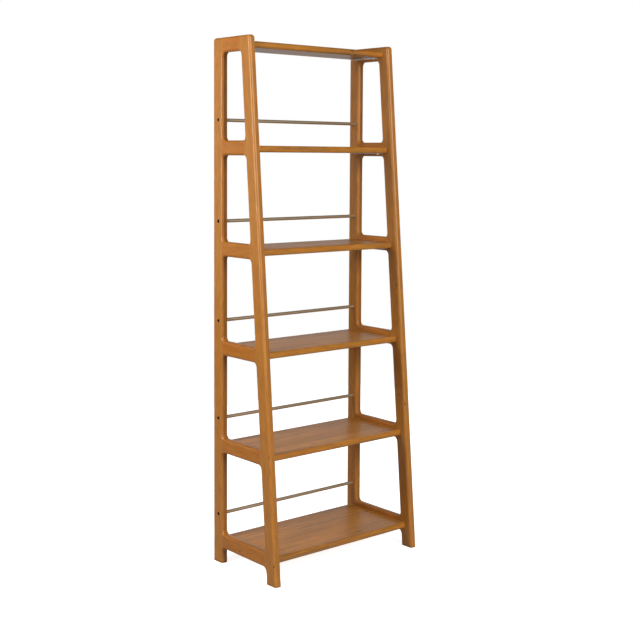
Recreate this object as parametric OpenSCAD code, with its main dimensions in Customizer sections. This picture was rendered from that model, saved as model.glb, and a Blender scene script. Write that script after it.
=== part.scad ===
// Ladder shelf: two leaning side frames, six shelves and five round back bars.
// Millimetres, +Z up, front towards -Y, origin on the floor under the middle.

/* [Overall size] */
// Height of the side frames
overall_h = 1800; // [1700:10:1900]
// Width over both side frames
overall_w = 638; // [500:1:800]
// Depth at the floor
foot_depth = 358; // [340:1:380]
// Depth at the top
top_depth = 206; // [196:1:226]

/* [Side frames] */
// Thickness of the frame boards
frame_t = 26; // [24:0.5:30]
// Width of a post, measured level
post_w = 53; // [50:1:56]
// Height of a rail
rail_h = 50; // [48:1:54]
// Radius on every long edge
edge_r = 9; // [6:0.5:9.5]
// Radius in the corners of the windows
window_r = 15; // [13:1:18]
// Radius of the top corners
top_r = 10; // [10:1:14]
// How far a rail's shoulder stands off the finished edge of the post
shoulder = 2; // [1:0.5:3]
// Thickness of the tenons
tenon_t = 10; // [8:0.5:10]
// Height of the tenons
tenon_h = 30; // [24:1:32]
// Length of the tenons
tenon_l = 26; // [18:1:28]

/* [Shelves] */
// Thickness of a shelf board
shelf_t = 22; // [20:0.5:24]
// Top face of the lowest shelf above the floor
low_shelf = 86; // [80:1:95]
// How much taller each bay is than the one below it
bay_growth = 2.4; // [0:0.2:3]
// Rail standing up above the top face of its shelf
rail_above = 17; // [16:0.5:18]
// Shelf front edge behind the face of the leaning post
front_gap = 29; // [24:1:32]
// Shelf back edge ahead of the back of the frame
back_gap = 25; // [20:1:30]
// Radius on the front edge of a shelf
nose_r = 8; // [5:0.5:9.5]
// Radius on the back edge of a shelf
tail_r = 2; // [1:0.5:4]

/* [Back bars] */
// Diameter of a bar
bar_d = 12; // [10:0.5:14]
// Axis of the bars ahead of the back of the frame
bar_in = 31; // [26:1:34]
// Rise of a bar above its shelf as a share of the bay
bar_share = 0.25; // [0.2:0.01:0.35]
// Depth of the socket that takes the end of a bar
socket_in = 6; // [4:0.5:7]
// Diameter of the recess for a bar screw head
recess_d = 12; // [11:0.5:13]
// Depth of the recess for a bar screw head
recess_in = 8; // [7:0.5:9]

/* [Shelf brackets] */
// Thickness of the bracket steel
plate_t = 2.5; // [2:0.25:3]
// Leg of the bracket under the shelf
foot_leg = 24; // [18:1:30]
// Leg of the bracket let into the end of the shelf
up_leg = 14; // [12:1:16]
// Bracket end behind the front edge of the shelf
bracket_front = 22; // [18:1:26]
// Bracket end ahead of the back edge of the shelf
bracket_back = 10; // [6:1:14]

/* [Hidden] */
$fn = 64;
eps = 1;
fit_gap = 0.1;
hair = 0.03;
shelf_n = 6;
inner_w = overall_w - 2 * frame_t;
rear = foot_depth / 2;
lean = (foot_depth - top_depth) / overall_h;
slant = sqrt(1 + lean * lean);
growths = (shelf_n - 1) * (shelf_n - 2) / 2;
bay_pitch = (overall_h - rail_above - low_shelf - bay_growth * growths) / (shelf_n - 1);

// bar screw
bolt_d = 6;
bolt_head_d = recess_d - 0.6;
bolt_head_h = recess_in - 1;
bolt_hex = 5;
bolt_hex_in = 3;
bolt_grip = 14;

// wood screws of the brackets
screw_d = 4;
screw_head_d = 8;
screw_head_h = 2.8;
screw_in = 14;
flush_head_h = 2;
pan_from_end = 13;
flush_from_end = 42;

function front_at(z) = lean * z - rear;
function shelf_top(i) = low_shelf + i * bay_pitch + bay_growth * i * (i - 1) / 2;
function rail_top(i) = shelf_top(i) + rail_above;
function rail_low(i) = rail_top(i) - rail_h;
function shelf_low(i) = shelf_top(i) - shelf_t;
function shelf_front(i) = front_at(shelf_top(i) - shelf_t / 2) + front_gap;
function shelf_back() = rear - back_gap;
function bar_z(i) = shelf_top(i) + bar_share * (shelf_top(i + 1) - shelf_top(i));
function bar_y() = rear - bar_in;
function bracket_y0(i) = shelf_front(i) + bracket_front;
function bracket_y1() = shelf_back() - bracket_back;
function pan_ys(i) = [bracket_y0(i) + pan_from_end, bracket_y1() - pan_from_end];
function flush_ys(i) = [bracket_y0(i) + flush_from_end, bracket_y1() - flush_from_end];
function flush_z(i) = shelf_low(i) + up_leg / 2;

// corner centres of a routed window, clockwise from the top front
function window_corners(z0, z1) = [
    [front_at(z1 - window_r) + post_w + window_r * slant, z1 - window_r],
    [rear - post_w - window_r, z1 - window_r],
    [rear - post_w - window_r, z0 + window_r],
    [front_at(z0 + window_r) + post_w + window_r * slant, z0 + window_r]
];

wood_post = "#b9793d";
wood_rail = "#b06f36";
wood_shelf = "#b07f52";
bar_metal = "#9a8266";
steel = "#a9aaa8";
black_steel = "#23262d";

// ---------- routed side frame, drawn flat: x is depth, y is height, z is thickness

// section of the cutter that rounds both rims of an outer edge; x = 0 is the edge
module rim_edge(over) {
    for (s = [-1, 1])
        difference() {
            translate([-edge_r, s * frame_t / 2 + (s > 0 ? -edge_r : -over)])
                square([edge_r + over, edge_r + over]);
            translate([-edge_r, s * (frame_t / 2 - edge_r)]) circle(edge_r);
        }
}

// section of the cutter that routes a window of radius r and rounds both rims
module window_edge(u0, r, over) {
    difference() {
        translate([u0, -frame_t / 2 - over]) square([r + edge_r - u0, frame_t + 2 * over]);
        for (s = [-1, 1])
            translate([r + edge_r, s * (frame_t / 2 - edge_r)]) circle(edge_r);
        translate([r, edge_r - frame_t / 2]) square([2 * edge_r, frame_t - 2 * edge_r]);
    }
}

// runs the section along every side of a ring of corner centres
module along_sides(corners) {
    n = len(corners);
    for (i = [0 : n - 1]) {
        step = corners[(i + 1) % n] - corners[i];
        translate(corners[i])
            rotate([90, 0, atan2(step[1], step[0]) + 90])
                linear_extrude(norm(step)) children();
    }
}

// turns the section right round at every corner centre
module round_corners(corners) {
    for (c = corners)
        translate(c) rotate_extrude() children();
}

// rounds the rims along a straight edge from a start point, with the outside at an angle
module round_edge(start, out, run) {
    translate(start)
        rotate([90, 0, out])
            linear_extrude(run) rim_edge(eps);
}

// rounds a top corner about its centre, between two outward directions
module round_corner(centre, n1, n2) {
    reach = 3 * top_r;
    linear_extrude(2 * frame_t, center = true)
        translate(centre)
            difference() {
                polygon([[0, 0], reach * n1, reach * (n1 + n2), reach * n2]);
                circle(top_r + hair);
            }
}

module round_top() {
    round_edge([front_at(overall_h) - post_w, overall_h], 90, 2 * foot_depth);
}

module round_back() {
    past = 2 * top_r;
    round_edge([rear, overall_h + past], 0, overall_h + 2 * past);
    round_corner([rear - top_r, overall_h - top_r], [1, 0], [0, 1]);
}

module round_front() {
    low = -2 * top_r;
    out = 180 - atan(lean);
    c = [front_at(overall_h - top_r) + top_r * slant, overall_h - top_r];
    round_edge([front_at(low), low], out, (overall_h - 2 * low) * slant);
    round_corner(c, [-1 / slant, lean / slant], [0, 1]);
}

module window(z0, z1) {
    corners = window_corners(z0, z1);
    round_corners(corners) window_edge(0, window_r + hair, 1.5 * eps);
    along_sides(corners) window_edge(-hair * 100, window_r, eps);
    linear_extrude(frame_t + 4 * eps, center = true) polygon(corners);
}

// window 0 is the gap between the feet, window i lies under rail i
module window_under(i) {
    if (i == 0)
        window(-4 * window_r, rail_low(0));
    else
        window(rail_top(i - 1), rail_low(i));
}

// tenon running through a rail and into both posts
module tenon(i, gap) {
    mid = (rail_top(i) + rail_low(i)) / 2;
    y0 = front_at(mid) + post_w + shoulder - tenon_l - 10 * gap;
    y1 = rear - post_w - shoulder + tenon_l + 10 * gap;
    translate([y0, mid - tenon_h / 2 - gap, -tenon_t / 2 - gap])
        cube([y1 - y0, tenon_h + 2 * gap, tenon_t + 2 * gap]);
}

module rear_board() {
    translate([rear - post_w - shoulder, 0, -frame_t / 2])
        cube([post_w + shoulder, overall_h, frame_t]);
}

module front_board() {
    wide = post_w + shoulder;
    linear_extrude(frame_t, center = true)
        polygon([
            [front_at(0), 0],
            [front_at(0) + wide, 0],
            [front_at(overall_h) + wide, overall_h],
            [front_at(overall_h), overall_h]
        ]);
}

// board of rail i between its two shoulders, with stock left for the corner fillets
module rail_board(i) {
    z0 = rail_low(i) - window_r - eps;
    z1 = min(overall_h, rail_top(i) + window_r + eps);
    linear_extrude(frame_t, center = true)
        polygon([
            [front_at(z0) + post_w + shoulder, z0],
            [rear - post_w - shoulder, z0],
            [rear - post_w - shoulder, z1],
            [front_at(z1) + post_w + shoulder, z1]
        ]);
}

// stands a flat-drawn piece up in the left (-1) or right (1) frame
module stand(side) {
    translate([side * (overall_w - frame_t) / 2, 0, 0])
        rotate([90, 0, 90]) children();
}

// socket, screw hole and head recess of one bar, in line along X
module bar_fixing(side, i) {
    face = side * overall_w / 2;
    inside = side * inner_w / 2;
    translate([0, bar_y(), bar_z(i)]) {
        along_x(inside - side * eps, inside + side * socket_in, bar_d + fit_gap);
        along_x(inside, face, bolt_d + fit_gap);
        along_x(face - side * recess_in, face + side * eps, recess_d);
    }
}

module along_x(x0, x1, d) {
    translate([min(x0, x1), 0, 0])
        rotate([0, 90, 0]) cylinder(d = d, h = abs(x1 - x0));
}

module rear_post(side) {
    color(wood_post)
        difference() {
            stand(side)
                difference() {
                    rear_board();
                    round_back();
                    round_top();
                    for (i = [0 : shelf_n - 1]) {
                        window_under(i);
                        tenon(i, fit_gap);
                    }
                }
            for (i = [0 : shelf_n - 2])
                bar_fixing(side, i);
        }
}

module front_post(side) {
    color(wood_post)
        stand(side)
            difference() {
                front_board();
                round_front();
                round_top();
                for (i = [0 : shelf_n - 1]) {
                    window_under(i);
                    tenon(i, fit_gap);
                }
            }
}

module rail(side, i) {
    color(wood_rail)
        difference() {
            stand(side)
                union() {
                    difference() {
                        rail_board(i);
                        window_under(i);
                        if (i < shelf_n - 1)
                            window_under(i + 1);
                        else
                            round_top();
                    }
                    tenon(i, 0);
                }
            for (y = flush_ys(i))
                translate([0, y, flush_z(i)])
                    along_x(side * inner_w / 2, side * (inner_w / 2 + screw_in), screw_d + fit_gap);
        }
}

// ---------- shelves, bars and metalwork

module shelf_section(i) {
    d = shelf_back() - shelf_front(i);
    translate([shelf_front(i), shelf_low(i)]) {
        translate([nose_r, 0]) square([d - nose_r - tail_r, shelf_t]);
        translate([0, nose_r]) square([d / 2, shelf_t - 2 * nose_r]);
        translate([d / 2, tail_r]) square([d / 2, shelf_t - 2 * tail_r]);
        for (z = [nose_r, shelf_t - nose_r])
            translate([nose_r, z]) circle(nose_r);
        for (z = [tail_r, shelf_t - tail_r])
            translate([d - tail_r, z]) circle(tail_r);
    }
}

module shelf(i) {
    rebate = plate_t + fit_gap;
    color(wood_shelf)
        difference() {
            translate([-inner_w / 2, 0, 0])
                rotate([90, 0, 90]) linear_extrude(inner_w) shelf_section(i);
            for (side = [-1, 1]) {
                x = side * inner_w / 2;
                translate([min(x, x - side * rebate) - (side < 0 ? eps : 0),
                    bracket_y0(i) - fit_gap, shelf_low(i) - eps])
                    cube([rebate + eps, bracket_y1() - bracket_y0(i) + 2 * fit_gap,
                        up_leg + fit_gap + eps]);
                for (y = pan_ys(i))
                    translate([x - side * foot_leg / 2, y, shelf_low(i) - eps])
                        cylinder(d = screw_d + fit_gap, h = screw_in + eps);
            }
        }
}

module bar(i) {
    half = inner_w / 2 + socket_in;
    color(bar_metal)
        translate([0, bar_y(), bar_z(i)])
            difference() {
                along_x(-half, half, bar_d);
                for (side = [-1, 1])
                    along_x(side * (half - bolt_grip - eps), side * (half + eps), bolt_d + fit_gap);
            }
}

module bracket(side, i) {
    x = side * inner_w / 2;
    run = bracket_y1() - bracket_y0(i);
    z = shelf_low(i);
    color(steel)
        difference() {
            union() {
                translate([min(x, x - side * foot_leg), bracket_y0(i), z - plate_t])
                    cube([foot_leg, run, plate_t]);
                translate([min(x, x - side * plate_t), bracket_y0(i), z - plate_t])
                    cube([plate_t, run, plate_t + up_leg]);
            }
            for (y = pan_ys(i))
                translate([x - side * foot_leg / 2, y, z - 2 * plate_t])
                    cylinder(d = screw_d + fit_gap, h = 3 * plate_t);
            for (y = flush_ys(i))
                translate([x - side * plate_t, y, flush_z(i)])
                    flush_sink(side, fit_gap);
        }
}

// countersink and clearance hole, opening towards the middle of the shelf
module flush_sink(side, gap) {
    rotate([0, side * 90, 0]) {
        translate([0, 0, -eps])
            cylinder(d = screw_d + gap, h = plate_t + 2 * eps);
        cylinder(d1 = screw_head_d + gap, d2 = screw_d + gap, h = flush_head_h);
    }
}

module bar_screws(side) {
    seat = side * (overall_w / 2 - recess_in);
    tip = side * (inner_w / 2 + socket_in - bolt_grip + eps);
    color(black_steel)
        for (i = [0 : shelf_n - 2])
            translate([0, bar_y(), bar_z(i)])
                difference() {
                    union() {
                        along_x(seat, seat + side * bolt_head_h, bolt_head_d);
                        along_x(seat, tip, bolt_d);
                    }
                    translate([seat + side * (bolt_head_h - bolt_hex_in), 0, 0])
                        rotate([0, side * 90, 0])
                            linear_extrude(bolt_hex_in + eps) hexagon(bolt_hex);
                }
}

module hexagon(flats) {
    r = flats / sqrt(3);
    polygon([for (k = [0 : 5]) [r * cos(60 * k), r * sin(60 * k)]]);
}

// round heads under the bracket, driven up into the shelf
module shelf_screws(side) {
    color(steel)
        for (i = [0 : shelf_n - 1])
            for (y = pan_ys(i))
                translate([side * (inner_w - foot_leg) / 2, y, shelf_low(i) - plate_t]) {
                    translate([0, 0, -screw_head_h])
                        cylinder(d = screw_head_d, h = screw_head_h);
                    cylinder(d = screw_d, h = plate_t + screw_in - eps);
                }
}

// flush heads in the upright leg, driven out into the rail
module rail_screws(side) {
    color(steel)
        for (i = [0 : shelf_n - 1])
            for (y = flush_ys(i))
                translate([side * (inner_w / 2 - plate_t), y, flush_z(i)])
                    rotate([0, side * 90, 0]) {
                        cylinder(d1 = screw_head_d, d2 = screw_d, h = flush_head_h);
                        cylinder(d = screw_d, h = plate_t + screw_in - eps);
                    }
}

// ---------- one named module for each piece

module left_rear_post() { rear_post(-1); }
module left_front_post() { front_post(-1); }
module right_rear_post() { rear_post(1); }
module right_front_post() { front_post(1); }
module left_rail_1() { rail(-1, 0); }
module left_rail_2() { rail(-1, 1); }
module left_rail_3() { rail(-1, 2); }
module left_rail_4() { rail(-1, 3); }
module left_rail_5() { rail(-1, 4); }
module left_rail_6() { rail(-1, 5); }
module right_rail_1() { rail(1, 0); }
module right_rail_2() { rail(1, 1); }
module right_rail_3() { rail(1, 2); }
module right_rail_4() { rail(1, 3); }
module right_rail_5() { rail(1, 4); }
module right_rail_6() { rail(1, 5); }
module shelf_1() { shelf(0); }
module shelf_2() { shelf(1); }
module shelf_3() { shelf(2); }
module shelf_4() { shelf(3); }
module shelf_5() { shelf(4); }
module shelf_6() { shelf(5); }
module back_bar_1() { bar(0); }
module back_bar_2() { bar(1); }
module back_bar_3() { bar(2); }
module back_bar_4() { bar(3); }
module back_bar_5() { bar(4); }
module left_bracket_1() { bracket(-1, 0); }
module left_bracket_2() { bracket(-1, 1); }
module left_bracket_3() { bracket(-1, 2); }
module left_bracket_4() { bracket(-1, 3); }
module left_bracket_5() { bracket(-1, 4); }
module left_bracket_6() { bracket(-1, 5); }
module right_bracket_1() { bracket(1, 0); }
module right_bracket_2() { bracket(1, 1); }
module right_bracket_3() { bracket(1, 2); }
module right_bracket_4() { bracket(1, 3); }
module right_bracket_5() { bracket(1, 4); }
module right_bracket_6() { bracket(1, 5); }
module left_bar_screws() { bar_screws(-1); }
module right_bar_screws() { bar_screws(1); }
module left_shelf_screws() { shelf_screws(-1); }
module right_shelf_screws() { shelf_screws(1); }
module left_rail_screws() { rail_screws(-1); }
module right_rail_screws() { rail_screws(1); }

left_rear_post();
left_front_post();
right_rear_post();
right_front_post();
left_rail_1();
left_rail_2();
left_rail_3();
left_rail_4();
left_rail_5();
left_rail_6();
right_rail_1();
right_rail_2();
right_rail_3();
right_rail_4();
right_rail_5();
right_rail_6();
shelf_1();
shelf_2();
shelf_3();
shelf_4();
shelf_5();
shelf_6();
back_bar_1();
back_bar_2();
back_bar_3();
back_bar_4();
back_bar_5();
left_bracket_1();
left_bracket_2();
left_bracket_3();
left_bracket_4();
left_bracket_5();
left_bracket_6();
right_bracket_1();
right_bracket_2();
right_bracket_3();
right_bracket_4();
right_bracket_5();
right_bracket_6();
left_bar_screws();
right_bar_screws();
left_shelf_screws();
right_shelf_screws();
left_rail_screws();
right_rail_screws();
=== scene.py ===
# %% [markdown]
# # A ladder shelf in lacquered wood
# A ladder shelf leans in towards the top: each side is a routed wooden frame, and six shelves
# and five thin metal bars run between the two sides. The engineering model fixes every place
# and size, so this lesson loads it first and then builds finished pieces on top of it.

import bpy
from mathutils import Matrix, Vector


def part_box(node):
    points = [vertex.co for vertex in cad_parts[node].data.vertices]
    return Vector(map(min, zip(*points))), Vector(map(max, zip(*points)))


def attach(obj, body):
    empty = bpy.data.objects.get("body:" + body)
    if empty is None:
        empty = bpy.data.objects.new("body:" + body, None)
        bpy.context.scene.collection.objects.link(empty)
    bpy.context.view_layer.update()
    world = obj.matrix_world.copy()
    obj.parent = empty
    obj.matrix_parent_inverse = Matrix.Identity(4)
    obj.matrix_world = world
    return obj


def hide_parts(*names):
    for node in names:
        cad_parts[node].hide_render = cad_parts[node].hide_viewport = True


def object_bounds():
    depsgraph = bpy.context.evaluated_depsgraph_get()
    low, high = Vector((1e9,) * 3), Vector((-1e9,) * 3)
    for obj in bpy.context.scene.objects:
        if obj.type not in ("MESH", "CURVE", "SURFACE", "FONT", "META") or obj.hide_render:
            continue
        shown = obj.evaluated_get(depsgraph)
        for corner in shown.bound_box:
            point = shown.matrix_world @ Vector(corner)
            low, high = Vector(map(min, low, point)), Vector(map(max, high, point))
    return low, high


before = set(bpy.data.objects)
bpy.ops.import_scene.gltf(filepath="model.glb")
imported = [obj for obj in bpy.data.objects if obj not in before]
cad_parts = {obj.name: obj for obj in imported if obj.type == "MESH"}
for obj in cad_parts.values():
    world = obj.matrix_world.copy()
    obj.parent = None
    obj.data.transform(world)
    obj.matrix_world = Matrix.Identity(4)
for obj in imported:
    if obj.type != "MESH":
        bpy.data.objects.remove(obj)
cad_box = [list(corner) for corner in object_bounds()]
print("frame loaded:", len(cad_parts), "nodes, box", cad_box)

# %% [markdown]
# ## Sizes
# Everything below is in metres, and the working sizes of a joiner are in millimetres, so one
# small helper turns one into the other. Where the frame already knows a place, it is read from
# there and not typed again. What is left are the sizes that a box can't tell: radii and joints.

# %% Working sizes
import math

import bmesh
import bpy
from mathutils import Matrix, Vector


def mm(*sizes):
    """Millimetres to metres, for one size or several."""
    scaled = [size / 1000 for size in sizes]
    return scaled[0] if len(scaled) == 1 else scaled


FRONT, REAR = cad_box[0][1], cad_box[1][1]
TALL = cad_box[1][2]
OUTER = cad_box[1][0]
BOARD = mm(26)            # thickness of a side frame
INNER = OUTER - BOARD     # inner face of a side frame
TOP_DEPTH = mm(206)
LEAN = (REAR - FRONT - TOP_DEPTH) / TALL
POST = mm(53)             # width of a post
SHOULDER = mm(2)          # the joint stands this far inside the window
RAIL_ABOVE = mm(17)       # the rail stands up above its shelf
RAIL = mm(50)             # height of a rail
WINDOW_R, TOP_R, RIM_R = mm(15, 10, 9)
SHELVES = 6


def front_at(z):
    """Depth of the leaning front face at a height."""
    return FRONT + LEAN * z


shelf_box = [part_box(f"shelf_{n + 1}") for n in range(SHELVES)]
rail_top = [high.z + RAIL_ABOVE for low, high in shelf_box]
rail_low = [top - RAIL for top in rail_top]
print("lean", round(math.degrees(math.atan(LEAN)), 2), "degrees; rails at",
      [round(z, 3) for z in rail_low])

# %% [markdown]
# ## Camera
# The camera stands left of the shelf at chest height, some four metres away, with a longish
# lens, so that upright lines stay nearly parallel. A small shift frames the shelf without
# tilting the camera more, just as a view camera does.

# %% Camera
CAMERA_AT = (-2.5788, -3.1337, 1.4124)
YAW, PITCH, ROLL = (math.radians(angle) for angle in (40.9503, -3.9487, 0.4244))
LENS, SENSOR = 65.691, 36         # millimetres
SHIFT = (-0.04512, -0.13295)      # in widths of the picture

camera_data = bpy.data.cameras.new("studio_camera")
camera_data.lens, camera_data.sensor_width = LENS, SENSOR
camera_data.shift_x, camera_data.shift_y = SHIFT
camera = bpy.data.objects.new("studio_camera", camera_data)
bpy.context.collection.objects.link(camera)
ahead = Vector((math.sin(YAW) * math.cos(PITCH), math.cos(YAW) * math.cos(PITCH), math.sin(PITCH)))
level = Vector((math.cos(YAW), -math.sin(YAW), 0))
above = level.cross(ahead)
right = level * math.cos(ROLL) + above * math.sin(ROLL)
up = above * math.cos(ROLL) - level * math.sin(ROLL)
turned = Matrix((right, up, -ahead)).transposed().to_4x4()
camera.matrix_world = Matrix.Translation(CAMERA_AT) @ turned
bpy.context.scene.camera = camera
print("camera looks", tuple(round(v, 3) for v in ahead))

# %% [markdown]
# ## Colour and node helpers
# A colour picked on a screen is an sRGB value, and a shader works in linear light, so a hex
# code goes through one function. Another small function adds a node, sets it up and wires it,
# which keeps each material readable as a list of what it is made of.

# %% Helpers for materials


def linear(code):
    """An sRGB hex code as the linear colour that shaders use."""
    parts = [int(code[i:i + 2], 16) / 255 for i in (1, 3, 5)]
    turned = [c / 12.92 if c <= 0.04045 else ((c + 0.055) / 1.055) ** 2.4 for c in parts]
    return (*turned, 1)


def add(tree, kind, inputs=None, **settings):
    """Adds a node to a tree. An input is a number, a colour or another node's output."""
    node = tree.nodes.new(kind)
    for name, value in settings.items():
        setattr(node, name, value)
    for name, value in (inputs or {}).items():
        if isinstance(value, bpy.types.NodeSocket):
            tree.links.new(value, node.inputs[name])
        else:
            node.inputs[name].default_value = value
    return node


def blank_material(name):
    """A material with an empty node tree, and the tree to build it in."""
    made = bpy.data.materials.new(name)
    made.use_nodes = True
    made.node_tree.nodes.clear()
    return made, made.node_tree


MIX_FACTOR, MIX_A, MIX_B, MIX_OUT = 0, 6, 7, 2   # sockets of a Mix node set to colour


def mix(tree, blend, factor, first, second):
    """Mixes two colours and gives the resulting colour socket."""
    node = add(tree, "ShaderNodeMix", {MIX_FACTOR: factor, MIX_A: first, MIX_B: second},
               data_type="RGBA", blend_type=blend)
    return node.outputs[MIX_OUT]


# %% [markdown]
# ## Floor and light
# A product studio is a white sweep with big soft lamps. The sweep is lit for itself, so only
# the camera sees it, and black flags keep it from throwing white light over the wood: the
# objects' ray visibility does that here. A lamp on the left makes the outer faces of the left
# frame the brightest, a lamp in front lights the shelf edges, and weak ones fill the rest.

# %% Floor
FLOOR_GLOW = 0.8
FLOOR_WIDE = 4.4   # ends short of the backdrop lamp, which reaches below floor level
bpy.ops.object.select_all(action="DESELECT")
bpy.ops.mesh.primitive_plane_add(size=FLOOR_WIDE, location=(0, 0, 0))
floor = bpy.context.object
floor.name = "studio_floor"
floor_paint, tree = blank_material("matt_white_floor_paint")
place = add(tree, "ShaderNodeTexCoord").outputs["Object"]
grain = add(tree, "ShaderNodeTexNoise", {"Vector": place, "Scale": 3.0, "Detail": 3.0})
tone = add(tree, "ShaderNodeMapRange",
           {"Value": grain.outputs[0], "To Min": 0.86, "To Max": 0.9})
floor_skin = add(tree, "ShaderNodeBsdfPrincipled", {
    "Base Color": tone.outputs[0], "Roughness": 0.9, "Specular IOR Level": 0.1,
    "Emission Color": (1, 1, 1, 1), "Emission Strength": FLOOR_GLOW})
add(tree, "ShaderNodeOutputMaterial", {"Surface": floor_skin.outputs[0]})
floor.data.materials.append(floor_paint)
floor.visible_diffuse = floor.visible_glossy = False
print("floor", floor.dimensions[:])

# %% Light
world = bpy.data.worlds.new("white_sweep")
bpy.context.scene.world = world
world.use_nodes = True
world.node_tree.nodes.clear()
room = add(world.node_tree, "ShaderNodeBackground", {"Color": (1, 1, 1, 1), "Strength": 1.0})
add(world.node_tree, "ShaderNodeOutputWorld", {"Surface": room.outputs[0]})
world.cycles_visibility.diffuse = world.cycles_visibility.glossy = False


def soft_lamp(name, place, aim, wide, high, brightness):
    """A softbox of a width and height at a place, turned to face its aim. Its power follows
    from how bright its cloth looks, so a larger box gives softer and more light."""
    data = bpy.data.lights.new(name, "AREA")
    data.shape, data.size, data.size_y = "RECTANGLE", wide, high
    data.energy = brightness * math.pi * wide * high
    lamp = bpy.data.objects.new(name, data)
    bpy.context.collection.objects.link(lamp)
    lamp.location = place
    lamp.rotation_mode = "QUATERNION"
    lamp.rotation_quaternion = (Vector(aim) - Vector(place)).to_track_quat("-Z", "Y")
    lamp.visible_camera = False
    return lamp


MIDDLE = (0, 0, 1.1)
LAMPS = [
    soft_lamp("left_softbox", (-2.5, 0.2, 1.8), MIDDLE, 0.6, 1.6, 18.0),
    soft_lamp("front_softbox", (-0.3, -4.2, 2.4), MIDDLE, 1.4, 2.6, 15.0),
    soft_lamp("near_left_top", (-1.5, -0.7, 2.6), (-0.2, 0, 1.3), 0.8, 0.8, 2.2),
    soft_lamp("backdrop_glow", (2.2, 2.6, 0.9), (0, 0, 0.9), 4, 3, 0.68),
    soft_lamp("back_left_fill", (-1.5, 3.2, 1.6), MIDDLE, 2, 2, 0.75),
    soft_lamp("right_fill", (3.0, 0.6, 1.6), MIDDLE, 1.5, 1.5, 2.4),
    soft_lamp("floor_bounce", (0, 0, 0.002), (0, 0, 1), 4, 4, 0.34),
]
bpy.context.scene.view_settings.view_transform = "Standard"
print("lamps:", [lamp.name for lamp in LAMPS])

# %% [markdown]
# ## The wood
# The frames are a fine-grained hardwood, stained light brown and sprayed with satin lacquer.
# What the eye gets is a warm brown with hardly any contrast: slow waves of tone where the saw
# met the growth rings, and short thin pores along the grain. Rings round a far-off heart give
# the waves, and noise pulled out along the grain gives the pores. The lacquer is a thin coat
# over it, which puts a soft white sheen on faces seen at a slant.

# %% Lacquered hardwood
RING_PERIOD = 2 * math.pi / 20   # a ring of the wave texture, in its own units
RING_MM = 6    # growth rings, as wide as in a fast-grown board
HONEY, SMOKE, BURNT = "#b87c34", "#5c4a3c", "#2c2018"
PORE_MM = 3    # real pores are a tenth of this, too fine to show, so they are drawn coarser
GRAIN_TURN = {"X": (0, math.radians(90), 0), "Y": (math.radians(90), 0, 0), "Z": (0, 0, 0)}


def drawn_noise(tree, board, seed, width_mm, long_times, low, high, detail=3.0):
    """Noise that is one width across the grain and many times longer along it. It swings
    between two factors, which a colour is then multiplied by."""
    noise = add(tree, "ShaderNodeTexNoise", {
        "Vector": add(tree, "ShaderNodeMapping", {
            "Vector": board, "Location": (0.7 * seed, 1.3 * seed, 0.4 * seed),
            "Scale": (1, 1, 1 / long_times)}).outputs[0],
        "Scale": 1 / mm(width_mm), "Detail": detail, "Roughness": 0.6})
    swing = add(tree, "ShaderNodeMapRange", {
        "Value": noise.outputs["Fac"], "From Min": 0.3, "From Max": 0.7,
        "To Min": low, "To Max": high})
    return noise.outputs["Fac"], swing.outputs[0]


def knots_in(tree, place, grain, colour, knots):
    """Small dark knots: each is a point in the wood, a width and how often longer it is
    along the grain. Around it the colour sinks softly to a burnt brown."""
    for centre, width_mm, long_times in knots:
        squeeze = {axis: 1.0 for axis in "XYZ"}
        squeeze[grain] = 1 / long_times
        away = add(tree, "ShaderNodeVectorMath", {0: place, 1: mm(*centre)}, operation="SUBTRACT")
        shaped = add(tree, "ShaderNodeVectorMath", {
            0: away.outputs[0], 1: tuple(squeeze.values())}, operation="MULTIPLY")
        reach = add(tree, "ShaderNodeVectorMath", {0: shaped.outputs[0]}, operation="LENGTH")
        share = add(tree, "ShaderNodeMapRange", {
            "Value": reach.outputs["Value"], "From Min": mm(width_mm) * 0.25,
            "From Max": mm(width_mm) * 0.6, "To Min": 0.65, "To Max": 0.0},
            interpolation_type="SMOOTHSTEP")
        colour = mix(tree, "MIX", share.outputs[0], colour, linear(BURNT))
    return colour


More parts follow.
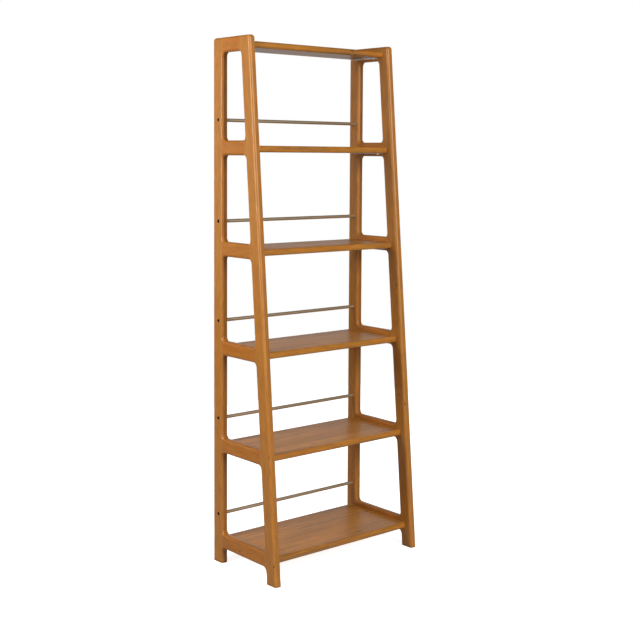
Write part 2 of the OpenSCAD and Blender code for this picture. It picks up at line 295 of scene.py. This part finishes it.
def lacquered_hardwood(name, grain, seed, tones, lean=0.0, stave_mm=None, shine=0.34,
                       ring_share=0.3, coat=0.06, knots=()):
    """Fine hardwood with its grain along one axis. The heart of the tree lies well outside
    the board, so each seed gives another cut of the same timber."""
    pale, deep, warm = tones
    made, tree = blank_material(name)
    place = add(tree, "ShaderNodeTexCoord").outputs["Object"]
    turn = [a + b for a, b in zip(GRAIN_TURN[grain], (lean, 0, 0))]
    board = add(tree, "ShaderNodeMapping", {"Vector": place, "Rotation": turn}).outputs[0]
    heart = (0.11 + 0.023 * (seed % 5), 0.09 - 0.031 * (seed % 7), 0.71 * seed)
    rings = add(tree, "ShaderNodeTexWave", {
        "Vector": add(tree, "ShaderNodeMapping", {
            "Vector": board, "Location": heart, "Scale": (1, 1, 0.07)}).outputs[0],
        "Scale": RING_PERIOD / mm(RING_MM), "Distortion": 7.0, "Detail": 3.0,
        "Detail Scale": 0.4}, wave_type="RINGS", rings_direction="Z")
    late_wood = add(tree, "ShaderNodeMapRange", {
        "Value": rings.outputs["Fac"], "To Min": 0.0, "To Max": ring_share})
    colour = mix(tree, "MIX", late_wood.outputs[0], linear(pale), linear(deep))
    _, patch = drawn_noise(tree, board, seed, 70, 5, 0.0, 0.7, 2.0)
    colour = mix(tree, "MIX", patch, colour, linear(warm))
    _, honey = drawn_noise(tree, board, seed + 7, 15, 6, 0.0, 0.45, 3.0)
    colour = mix(tree, "MIX", honey, colour, linear(HONEY))
    _, mottle = drawn_noise(tree, board, seed + 2, 11, 5, 0.84, 1.08, 3.0)
    colour = mix(tree, "MULTIPLY", 1.0, colour, mottle)
    pore, fleck = drawn_noise(tree, board, seed + 5, PORE_MM, 12, 0.88, 1.08, 4.0)
    colour = mix(tree, "MULTIPLY", 1.0, colour, fleck)
    if stave_mm:
        colour = stave_tones(tree, place, board, colour, stave_mm, seed)
    colour = knots_in(tree, place, grain, colour, knots)
    gloss = add(tree, "ShaderNodeMapRange", {
        "Value": pore, "To Min": shine - 0.05, "To Max": shine + 0.08})
    relief = add(tree, "ShaderNodeBump", {
        "Height": pore, "Strength": 0.1, "Distance": mm(0.3)})
    skin = add(tree, "ShaderNodeBsdfPrincipled", {
        "Base Color": colour, "Roughness": gloss.outputs[0], "Normal": relief.outputs[0],
        "Specular IOR Level": 0.35, "Coat Weight": coat, "Coat Roughness": 0.2})
    add(tree, "ShaderNodeOutputMaterial", {"Surface": skin.outputs[0]})
    return made


def stave_tones(tree, place, board, colour, stave_mm, seed):
    """Strips glued edge to edge: each has its own tone, a fine dark line parts them, and
    the stain has sunk into long smoky streaks along the grain."""
    _, smoke = drawn_noise(tree, board, seed + 9, 26, 11, 0.0, 1.0, 4.0)
    smoky = add(tree, "ShaderNodeMapRange", {
        "Value": smoke, "From Min": 0.45, "From Max": 1.0, "To Min": 0.0, "To Max": 0.5})
    colour = mix(tree, "MIX", smoky.outputs[0], colour, linear(SMOKE))
    across = add(tree, "ShaderNodeSeparateXYZ", {"Vector": place}).outputs["Y"]
    count = add(tree, "ShaderNodeMath", {0: across, 1: 1 / mm(stave_mm)},
                operation="MULTIPLY").outputs[0]
    number = add(tree, "ShaderNodeMath", {0: count}, operation="FLOOR").outputs[0]
    own = add(tree, "ShaderNodeTexWhiteNoise", {
        "W": add(tree, "ShaderNodeMath", {0: number, 1: 7.3 * seed},
                 operation="ADD").outputs[0]}, noise_dimensions="1D")
    tone = add(tree, "ShaderNodeMapRange", {
        "Value": own.outputs["Value"], "To Min": 0.9, "To Max": 1.06})
    colour = mix(tree, "MULTIPLY", 1.0, colour, tone.outputs[0])
    part = add(tree, "ShaderNodeMath", {0: count}, operation="FRACT").outputs[0]
    line = add(tree, "ShaderNodeMapRange", {
        "Value": part, "From Min": 0.0, "From Max": 0.03, "To Min": 0.88, "To Max": 1.0})
    return mix(tree, "MULTIPLY", 1.0, colour, line.outputs[0])


print("wood ready")

# %% [markdown]
# ## The metals
# Three metals are used. The bars are steel rod with a satin champagne-bronze finish. The bar
# screws are steel with black oxide, a thin blue-black skin. Brackets and wood screws are
# zinc-plated steel, which is light grey with a faint cloudy pattern from the plating bath.

# %% Metal finishes


def satin_metal(name, base, dark, metallic, rough, cloud_mm, stretch=1.0):
    """Metal with slow tone clouds and a fine roughness pattern, pulled out along X."""
    made, tree = blank_material(name)
    place = add(tree, "ShaderNodeTexCoord").outputs["Object"]
    drawn = add(tree, "ShaderNodeMapping", {"Vector": place, "Scale": (stretch, 1, 1)}).outputs[0]
    cloud = add(tree, "ShaderNodeTexNoise", {
        "Vector": drawn, "Scale": 1 / mm(cloud_mm), "Detail": 3.0})
    fine = add(tree, "ShaderNodeTexNoise", {
        "Vector": drawn, "Scale": 1 / mm(0.8), "Detail": 2.0})
    share = add(tree, "ShaderNodeMapRange", {
        "Value": cloud.outputs["Fac"], "From Min": 0.3, "From Max": 0.7})
    colour = mix(tree, "MIX", share.outputs[0], linear(base), linear(dark))
    gloss = add(tree, "ShaderNodeMapRange", {
        "Value": fine.outputs["Fac"], "To Min": rough - 0.06, "To Max": rough + 0.08})
    relief = add(tree, "ShaderNodeBump", {
        "Height": fine.outputs["Fac"], "Strength": 0.08, "Distance": mm(0.1)})
    skin = add(tree, "ShaderNodeBsdfPrincipled", {
        "Base Color": colour, "Metallic": metallic, "Roughness": gloss.outputs[0],
        "Normal": relief.outputs[0]})
    add(tree, "ShaderNodeOutputMaterial", {"Surface": skin.outputs[0]})
    return made


bronze_rod = satin_metal("satin_bronze_plated_rod", "#d6c2a4", "#c2aa88", 0.85, 0.45, 40, 0.05)
black_oxide = satin_metal("black_oxide_steel", "#151a28", "#0c1019", 0.8, 0.6, 3)
zinc_plate = satin_metal("zinc_plated_steel", "#f0f0ee", "#d6d7d5", 0.6, 0.45, 6)
print("metals:", bronze_rod.name, black_oxide.name, zinc_plate.name)

# %% [markdown]
# ## Modelling by hand
# Each piece starts as a primitive at its real size and place, and is shaped in edit mode as
# one would do by hand. These helpers are the hand movements: start a block, pick the parts
# that pass a test, cut one shape out of another, and give the finished piece its place in
# the frame.

# %% Hand movements
TINY = mm(0.05)


def only(piece):
    """Selects one object and nothing else."""
    bpy.ops.object.select_all(action="DESELECT")
    piece.select_set(True)
    bpy.context.view_layer.objects.active = piece
    return piece


def set_place():
    """Moves the active object's place into its mesh."""
    bpy.ops.object.transform_apply(location=True, rotation=True, scale=True)
    return bpy.context.object


def block(low, high):
    """A box between two corners."""
    low, high = Vector(low), Vector(high)
    bpy.ops.object.select_all(action="DESELECT")
    bpy.ops.mesh.primitive_cube_add(size=1, location=(low + high) / 2, scale=high - low)
    return set_place()


def rod(centre, radius, x0, x1, sides=32):
    """A round bar along X."""
    bpy.ops.object.select_all(action="DESELECT")
    bpy.ops.mesh.primitive_cylinder_add(
        vertices=sides, radius=radius, depth=abs(x1 - x0),
        location=((x0 + x1) / 2, centre[0], centre[1]), rotation=(0, math.radians(90), 0))
    return set_place()


def pick(kind, test):
    """In edit mode, selects the vertices, edges or faces that pass a test, and counts them."""
    bpy.ops.mesh.select_mode(type=kind)
    bpy.ops.mesh.select_all(action="DESELECT")
    shape = bmesh.from_edit_mesh(bpy.context.object.data)
    parts = {"VERT": shape.verts, "EDGE": shape.edges, "FACE": shape.faces}[kind]
    chosen = [part for part in parts if test(part)]
    for part in chosen:
        part.select_set(True)
    bmesh.update_edit_mesh(bpy.context.object.data)
    return len(chosen)


def editing(piece):
    """Opens one object in edit mode."""
    only(piece)
    bpy.ops.object.mode_set(mode="EDIT")


def done():
    """Leaves edit mode and gives back the object."""
    bpy.ops.object.mode_set(mode="OBJECT")
    return bpy.context.object


def copy_of(piece, move=(0, 0, 0)):
    """A copy with its own mesh, moved."""
    only(piece)
    bpy.ops.object.duplicate(linked=False)
    bpy.ops.transform.translate(value=move)
    return set_place()


def joined(pieces):
    """Several objects made one."""
    only(pieces[0])
    for piece in pieces:
        piece.select_set(True)
    if len(pieces) > 1:
        bpy.ops.object.join()
    return bpy.context.object


def cut_out(piece, cutters):
    """Takes the cutters' shape out of a piece."""
    tool = joined(cutters)
    only(piece)
    bpy.ops.object.modifier_add(type="BOOLEAN")
    cut = piece.modifiers[-1]
    cut.operation, cut.solver, cut.object = "DIFFERENCE", "EXACT", tool
    bpy.ops.object.modifier_apply(modifier=cut.name)
    bpy.data.objects.remove(tool)
    return piece


def shade(piece, angle=38):
    """Smooth over rounded edges, while the big flat faces stay flat."""
    only(piece)
    if piece.data.has_custom_normals:
        bpy.ops.mesh.customdata_custom_splitnormals_clear()
    bpy.ops.object.shade_smooth_by_angle(angle=math.radians(angle))
    bpy.ops.object.modifier_add(type="WEIGHTED_NORMAL")
    piece.modifiers[-1].keep_sharp = True
    bpy.ops.object.modifier_apply(modifier=piece.modifiers[-1].name)
    return piece


def hand_over(piece, node, material):
    """Names the finished piece, paints it and puts it in the frame for its CAD node."""
    piece.name = piece.data.name = f"{node}_finished"
    piece.data.materials.clear()
    piece.data.materials.append(material)
    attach(piece, "root")
    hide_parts(node)
    return piece


print("hands ready")

# %% [markdown]
# ## Side frame
# A side frame is posts and rails glued up flat, then routed: the window corners are rounded
# with a cutter, and a round-over bit runs along every rim, so that no sharp edge is left.
# Making it in that order gives the same shape: a leaning board, windows cut out, rims
# rounded, and only then the joint lines, by slicing copies of the whole frame into members.

# %% Blank board with a leaning front
blank = block((-OUTER, FRONT, 0), (-INNER, REAR, TALL))
editing(blank)
pick("VERT", lambda v: v.co.z > TALL - TINY and v.co.y < FRONT + TINY)
bpy.ops.transform.translate(value=(0, LEAN * TALL, 0))
pick("EDGE", lambda e: all(v.co.z > TALL - TINY for v in e.verts)
     and abs(e.verts[0].co.x - e.verts[1].co.x) > BOARD / 2)
bpy.ops.mesh.bevel(offset=TOP_R, segments=8, affect="EDGES")
done()
print("blank board:", len(blank.data.polygons), "faces")

# %% Windows
PAST = mm(20)     # how far a cutter stands out of the board


def window_cutter(z0, z1, open_below):
    """A slanted block with rounded corners, thicker than the board."""
    cutter = block((-OUTER - PAST, front_at(z0) + POST, z0), (-INNER + PAST, REAR - POST, z1))
    editing(cutter)
    pick("VERT", lambda v: v.co.z > z1 - TINY and v.co.y < 0)
    bpy.ops.transform.translate(value=(0, LEAN * (z1 - z0), 0))
    pick("EDGE", lambda e: abs(e.verts[0].co.x - e.verts[1].co.x) > BOARD
         and (e.verts[0].co.z > z0 + TINY or not open_below))
    bpy.ops.mesh.bevel(offset=WINDOW_R, segments=8, affect="EDGES")
    return done()


cutters = [window_cutter(-mm(60), rail_low[0], True)]
for n in range(SHELVES - 1):
    cutters.append(window_cutter(rail_top[n], rail_low[n + 1], False))
cut_out(blank, cutters)
print("with windows:", len(blank.data.polygons), "faces")

# %% Rounded rims and softened feet
FOOT_EASE = mm(1.2)


def is_rim(edge):
    """An edge between a side face and any other face, except under the feet."""
    sides = [abs(face.normal.x) > 0.99 for face in edge.link_faces]
    return sum(sides) == 1 and max(v.co.z for v in edge.verts) > TINY


def is_foot_edge(edge):
    """An edge round the sole of a foot."""
    return (max(v.co.z for v in edge.verts) < TINY
            and sum(face.normal.z < -0.99 for face in edge.link_faces) == 1)


editing(blank)
rims = pick("EDGE", is_rim)
bpy.ops.mesh.bevel(offset=RIM_R, segments=6, affect="EDGES", loop_slide=False,
                   clamp_overlap=False)
feet = pick("EDGE", is_foot_edge)
bpy.ops.mesh.bevel(offset=FOOT_EASE, segments=2, affect="EDGES", loop_slide=False)
done()
print("rims:", rims, "edges; feet:", feet, "edges;", len(blank.data.polygons), "faces")

# %% [markdown]
# ## Posts and rails
# Two slices part the frame: one upright behind the windows and one that leans with the front
# post. A copy that keeps what lies behind is the rear post, one that keeps what lies ahead is
# the front post, and the islands left between the slices are the six rails.

# %% Slice the frame into its members
shade(blank)
whole = copy_of(blank)
whole.name = "whole_frame_for_shading"
rear_joint = (Vector((0, REAR - POST - SHOULDER, 0)), Vector((0, 1, 0)))
front_joint = (Vector((0, FRONT + POST + SHOULDER, 0)), Vector((0, 1, -LEAN)).normalized())


def sliced(piece, joint, keep_behind):
    """Cuts a piece at a joint line, keeps one half and closes it."""
    editing(piece)
    bpy.ops.mesh.select_all(action="SELECT")
    bpy.ops.mesh.bisect(plane_co=joint[0], plane_no=joint[1], use_fill=True,
                        clear_inner=keep_behind, clear_outer=not keep_behind)
    return done()


rear_post = sliced(copy_of(blank), rear_joint, True)
front_post = sliced(copy_of(blank), front_joint, False)
rails = sliced(sliced(blank, rear_joint, False), front_joint, True)
editing(rails)
bpy.ops.mesh.select_all(action="SELECT")
bpy.ops.mesh.separate(type="LOOSE")
done()
rails = sorted(bpy.context.selected_objects, key=lambda rail: rail.data.vertices[0].co.z)
print("members:", len(rails), "rails and 2 posts")

# %% Recesses for the bar screws
bar_box = [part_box(f"back_bar_{n + 1}") for n in range(SHELVES - 1)]
bar_at = [((low.y + high.y) / 2, (low.z + high.z) / 2) for low, high in bar_box]
RECESS_R, RECESS_IN, RECESS_EASE, DRILL_PAST = mm(6, 8, 0.3, 5)


def recessed(post, side):
    """Drills the five round recesses in the outer face and eases their edges."""
    outside = side * OUTER
    drills = [rod(at, RECESS_R, outside - side * RECESS_IN, outside + side * DRILL_PAST)
              for at in bar_at]
    cut_out(post, drills)
    editing(post)
    eased = pick("EDGE", lambda e: all(abs(v.co.x - outside) < TINY for v in e.verts)
                 and any((Vector((v.co.y, v.co.z)) - Vector(at)).length < RECESS_R + TINY
                         for at in bar_at for v in e.verts)
                 and any(abs(face.normal.x) < 0.1 for face in e.link_faces))
    bpy.ops.mesh.bevel(offset=RECESS_EASE, segments=2, affect="EDGES", loop_slide=False)
    done()
    print("recess edges eased:", eased)
    return post


# %% [markdown]
# ## Tones of the members
# Members of one frame come from different boards, so each gets its own cut of the timber.
# The rails run a shade darker and redder than the posts, and their grain runs front to back.
# The rounded rims run on over the joints, so near a joint each member takes over the shading
# of the uncut frame.

# %% Shading carried over the joints
JOINT_NEAR = mm(3)


def shade_like(piece, whole, where):
    """Near a glued joint, takes the shading of the uncut frame, so no crease shows there."""
    editing(shade(piece))
    pick("VERT", where)
    bpy.ops.object.vertex_group_assign_new()
    done()
    bpy.ops.object.modifier_add(type="DATA_TRANSFER")
    transfer = piece.modifiers[-1]
    transfer.object, transfer.use_loop_data = whole, True
    transfer.data_types_loops = {"CUSTOM_NORMAL"}
    transfer.loop_mapping = "POLYINTERP_NEAREST"
    transfer.vertex_group = piece.vertex_groups[-1].name
    bpy.ops.object.modifier_apply(modifier=transfer.name)
    piece.vertex_groups.clear()
    return piece


def at_joint(vertex):
    """Whether a vertex lies close to either glued joint."""
    behind = abs(vertex.co.y - rear_joint[0].y)
    ahead = abs((vertex.co - front_joint[0]).dot(front_joint[1]))
    return min(behind, ahead) < JOINT_NEAR


# %% Put both side frames in place
POST_TONES = ("#bb7c35", "#a6682a", "#b66f2e")
RAIL_TONES = ("#b67029", "#9f5d22", "#b56922")
LEAN_ANGLE = math.atan(LEAN)
# each knot: its place in millimetres, its width, and how many times longer it is
KNOTS = {
    "left_rail_1": [((-319, 20, 72), 6, 1.5)],
    "left_front_post": [((-318, -168, 69), 6, 1.3), ((-317, -139, 422), 3, 12)],
    "right_front_post": [((293, -90, 944), 4, 3), ((293, -96, 578), 4, 3),
                         ((293, -107, 550), 5, 2), ((297, -134, 518), 5, 3)],
    "shelf_1": [((102, -110, 86), 9, 4), ((144, -101, 86), 7, 3), ((-29, 20, 86), 4, 16),
                ((-134, -22, 86), 4, 16)],
    "shelf_3": [((60, -50, 757), 5, 9)],
    "shelf_6": [((150, 0, 1777), 6, 3), ((165, 3, 1764), 5, 4)],
}
seed = 1
for side, word in ((-1, "left"), (1, "right")):
    move = (0, 0, 0) if side < 0 else (INNER + OUTER, 0, 0)
    whole_here = copy_of(whole, move)
    for part, shape, lean in (("rear_post", rear_post, 0),
                              ("front_post", front_post, LEAN_ANGLE)):
        piece = copy_of(shape, move)
        if part == "rear_post":
            recessed(piece, side)
        node = f"{word}_{part}"
        wood = lacquered_hardwood(f"lacquered_hardwood_{node}", "Z", seed, POST_TONES,
                                  lean=lean, knots=KNOTS.get(node, ()))
        hand_over(shade_like(piece, whole_here, at_joint), node, wood)
        seed += 1
    for n, shape in enumerate(rails):
        piece = copy_of(shape, move)
        node = f"{word}_rail_{n + 1}"
        wood = lacquered_hardwood(f"lacquered_hardwood_{node}", "Y", seed, RAIL_TONES,
                                  knots=KNOTS.get(node, ()))
        hand_over(shade_like(piece, whole_here, at_joint), node, wood)
        seed += 1
    bpy.data.objects.remove(whole_here)
for shape in (whole, rear_post, front_post, *rails):
    bpy.data.objects.remove(shape)
print("side frames placed, woods used:", seed - 1)

# %% [markdown]
# ## Shelves
# A shelf is a board of strips glued edge to edge, with a well rounded nose in front and
# barely eased edges behind. The long edges are rounded first, and then a shallow rebate is cut in
# each end for the upright leg of the bracket.

# %% Shelf boards
NOSE_R, TAIL_R = mm(8, 2)
BRACKET_T = mm(2.5)
SLACK = mm(0.1)
SHELF_TONES = ("#be7f2e", "#985e21", "#bd7429")
bracket_box = {(word, n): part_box(f"{word}_bracket_{n + 1}")
               for word in ("left", "right") for n in range(SHELVES)}

for n in range(SHELVES):
    low, high = shelf_box[n]
    shelf = block(low, high)
    editing(shelf)
    along = lambda e: abs(e.verts[0].co.x - e.verts[1].co.x) > OUTER
    pick("EDGE", lambda e: along(e) and e.verts[0].co.y < low.y + TINY)
    bpy.ops.mesh.bevel(offset=NOSE_R, segments=7, affect="EDGES")
    pick("EDGE", lambda e: along(e) and e.verts[0].co.y > high.y - TINY)
    bpy.ops.mesh.bevel(offset=TAIL_R, segments=3, affect="EDGES")
    done()
    slots = []
    for word, side in (("left", -1), ("right", 1)):
        start, end = bracket_box[word, n]
        x = sorted((side * (INNER - BRACKET_T - SLACK), side * (INNER + mm(3))))
        slots.append(block((x[0], start.y - SLACK, low.z - mm(3)),
                           (x[1], end.y + SLACK, end.z + SLACK)))
    cut_out(shelf, slots)
    wood = lacquered_hardwood(f"lacquered_glued_strips_shelf_{n + 1}", "X", 31 + n, SHELF_TONES,
                              stave_mm=38, shine=0.4, ring_share=0.5, coat=0.08,
                              knots=KNOTS.get(f"shelf_{n + 1}", ()))
    hand_over(shade(shelf), f"shelf_{n + 1}", wood)
print("shelves:", SHELVES)

# %% [markdown]
# ## Back bars
# A thin rod stops things falling off the back of each shelf. It is turned steel, so a plain
# cylinder with chamfered ends is close, and both ends sit in sockets in the rear posts.

# %% Bars
BAR_EASE = mm(0.8)
for n in range(SHELVES - 1):
    low, high = bar_box[n]
    bar = rod(bar_at[n], (high.y - low.y) / 2, low.x, high.x, sides=48)
    editing(bar)
    pick("EDGE", lambda e: len({round(v.co.x, 5) for v in e.verts}) == 1)
    bpy.ops.mesh.bevel(offset=BAR_EASE, segments=2, affect="EDGES")
    done()
    hand_over(shade(bar), f"back_bar_{n + 1}", bronze_rod)
print("bars:", SHELVES - 1)

# %% [markdown]
# ## Bar screws
# Each bar is held by a socket-head screw that sits in its recess in the post. The head is a
# short cylinder with a bevelled rim and a six-sided socket for the key: an inset circle can't
# give six sides, so the head starts as a cylinder and the socket is cut with a six-sided one.

# %% Socket-head screws
HEAD_R, HEAD_H, KEY_R, KEY_IN, THREAD_R = mm(5.7, 7, 5 / math.sqrt(3), 3, 3)
HEAD_EASE, THREAD_IN = mm(0.4, 12)


def socket_screw(at, side):
    """One screw, head outwards."""
    seat = side * (OUTER - RECESS_IN)
    face = seat + side * HEAD_H
    head = rod(at, HEAD_R, seat, face, sides=48)
    editing(head)
    pick("EDGE", lambda e: all(abs(v.co.x - face) < TINY for v in e.verts))
    bpy.ops.mesh.bevel(offset=HEAD_EASE, segments=3, affect="EDGES")
    done()
    cut_out(head, [rod(at, KEY_R, face - side * KEY_IN, face + side * mm(1), sides=6)])
    editing(head)
    pick("FACE", lambda f: abs(f.normal.x) > 0.9 and f.normal.x * side < 0)
    bpy.ops.mesh.inset(thickness=HEAD_R - THREAD_R)
    bpy.ops.mesh.extrude_region_move(TRANSFORM_OT_translate={"value": (-side * THREAD_IN, 0, 0)})
    done()
    return head


for side, word in ((-1, "left"), (1, "right")):
    first = socket_screw(bar_at[0], side)
    rest = [copy_of(first, (0, 0, at[1] - bar_at[0][1])) for at in bar_at[1:]]
    screws = joined([first, *rest])
    hand_over(shade(screws), f"{word}_bar_screws", black_oxide)
print("bar screws: 10")

# %% [markdown]
# ## Shelf brackets
# A bracket is a folded steel angle: one leg lies under the shelf and the other stands in the
# rebate in its end. A flat block, split near its outer edge and pulled up there, is that
# angle. Its free corners are rounded and all edges are broken, as a press leaves them.

# %% Brackets
LEG_CORNER, BROKEN_EDGE = mm(5, 0.35)


def angle_bracket(low, high, side):
    """A folded angle between the corners of its box."""
    angle = block(low, (high.x, high.y, low.z + BRACKET_T))
    fold = side * (INNER - BRACKET_T)
    editing(angle)
    bpy.ops.mesh.select_all(action="SELECT")
    bpy.ops.mesh.bisect(plane_co=(fold, 0, 0), plane_no=(1, 0, 0))
    pick("FACE", lambda f: f.normal.z > 0.9 and side * f.calc_center_median().x > side * fold)
    bpy.ops.mesh.extrude_region_move(
        TRANSFORM_OT_translate={"value": (0, 0, high.z - low.z - BRACKET_T)})
    free = min(abs(low.x), abs(high.x))
    pick("EDGE", lambda e: abs(e.verts[0].co.z - e.verts[1].co.z) > BRACKET_T / 2
         and all(abs(abs(v.co.x) - free) < TINY for v in e.verts))
    bpy.ops.mesh.bevel(offset=LEG_CORNER, segments=6, affect="EDGES")
    pick("EDGE", lambda e: len(e.link_faces) == 2 and e.calc_face_angle(0) > math.radians(60))
    bpy.ops.mesh.bevel(offset=BROKEN_EDGE, segments=2, affect="EDGES")
    return done()


for (word, n), (low, high) in bracket_box.items():
    bracket = angle_bracket(low, high, -1 if word == "left" else 1)
    hand_over(shade(bracket), f"{word}_bracket_{n + 1}", zinc_plate)
print("brackets:", len(bracket_box))

# %% [markdown]
# ## Round-head screws
# Two screws hold each bracket up to the shelf, and their round heads are the small lumps seen
# from below. The dome is the bevelled rim of a short cylinder, and the cross for the driver
# is two thin blocks cut out of it. It is modelled once and copied to all its places.

# %% Round heads
PAN_R, PAN_H, PAN_IN, CROSS_L, CROSS_W = mm(4, 2.8, 13, 4.6, 1.1)
DOME, PAN_LEDGE, CROSS_IN, PAN_FROM_END = mm(2.1, 2, 1.2, 13)


def round_head_screw(x, y, z):
    """A screw under a bracket, its head down and its shank up into the shelf."""
    bpy.ops.object.select_all(action="DESELECT")
    bpy.ops.mesh.primitive_cylinder_add(vertices=32, radius=PAN_R, depth=PAN_H,
                                        location=(x, y, z - PAN_H / 2))
    head = set_place()
    editing(head)
    pick("EDGE", lambda e: all(v.co.z < z - PAN_H + TINY for v in e.verts))
    bpy.ops.mesh.bevel(offset=DOME, segments=6, affect="EDGES")
    pick("FACE", lambda f: f.normal.z > 0.9)
    bpy.ops.mesh.inset(thickness=PAN_LEDGE)
    bpy.ops.mesh.extrude_region_move(TRANSFORM_OT_translate={"value": (0, 0, PAN_IN)})
    done()
    cross = []
    for wide, deep in ((CROSS_L, CROSS_W), (CROSS_W, CROSS_L)):
        cross.append(block((x - wide / 2, y - deep / 2, z - PAN_H - mm(1)),
                           (x + wide / 2, y + deep / 2, z - PAN_H + CROSS_IN)))
    for arm in cross:
        cut_out(head, [arm])
    return head


for side, word in ((-1, "left"), (1, "right")):
    spots = []
    for n in range(SHELVES):
        low, high = bracket_box[word, n]
        leg_middle = side * INNER - side * (high.x - low.x) / 2
        spots += [Vector((leg_middle, y, low.z))
                  for y in (low.y + PAN_FROM_END, high.y - PAN_FROM_END)]
    first = round_head_screw(*spots[0])
    rest = [copy_of(first, spot - spots[0]) for spot in spots[1:]]
    screws = joined([first, *rest])
    hand_over(shade(screws), f"{word}_shelf_screws", zinc_plate)
print("round-head screws:", 4 * SHELVES)

# %% [markdown]
# ## What stays from the engineering model
# The flush screws in the upright legs are hidden between bracket and rail, and their shape in
# the engineering model is already right, so they stay and only get their zinc finish.

# %% Finish the flush screws
for word in ("left", "right"):
    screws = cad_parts[f"{word}_rail_screws"]
    screws.data.materials.clear()
    screws.data.materials.append(zinc_plate)
print("flush screws keep their CAD shape")

# %% [markdown]
# ## The engineering model's box
# The box of the engineering model is printed once more at the end.

# %% Print the CAD box
print("CAD box", cad_box)
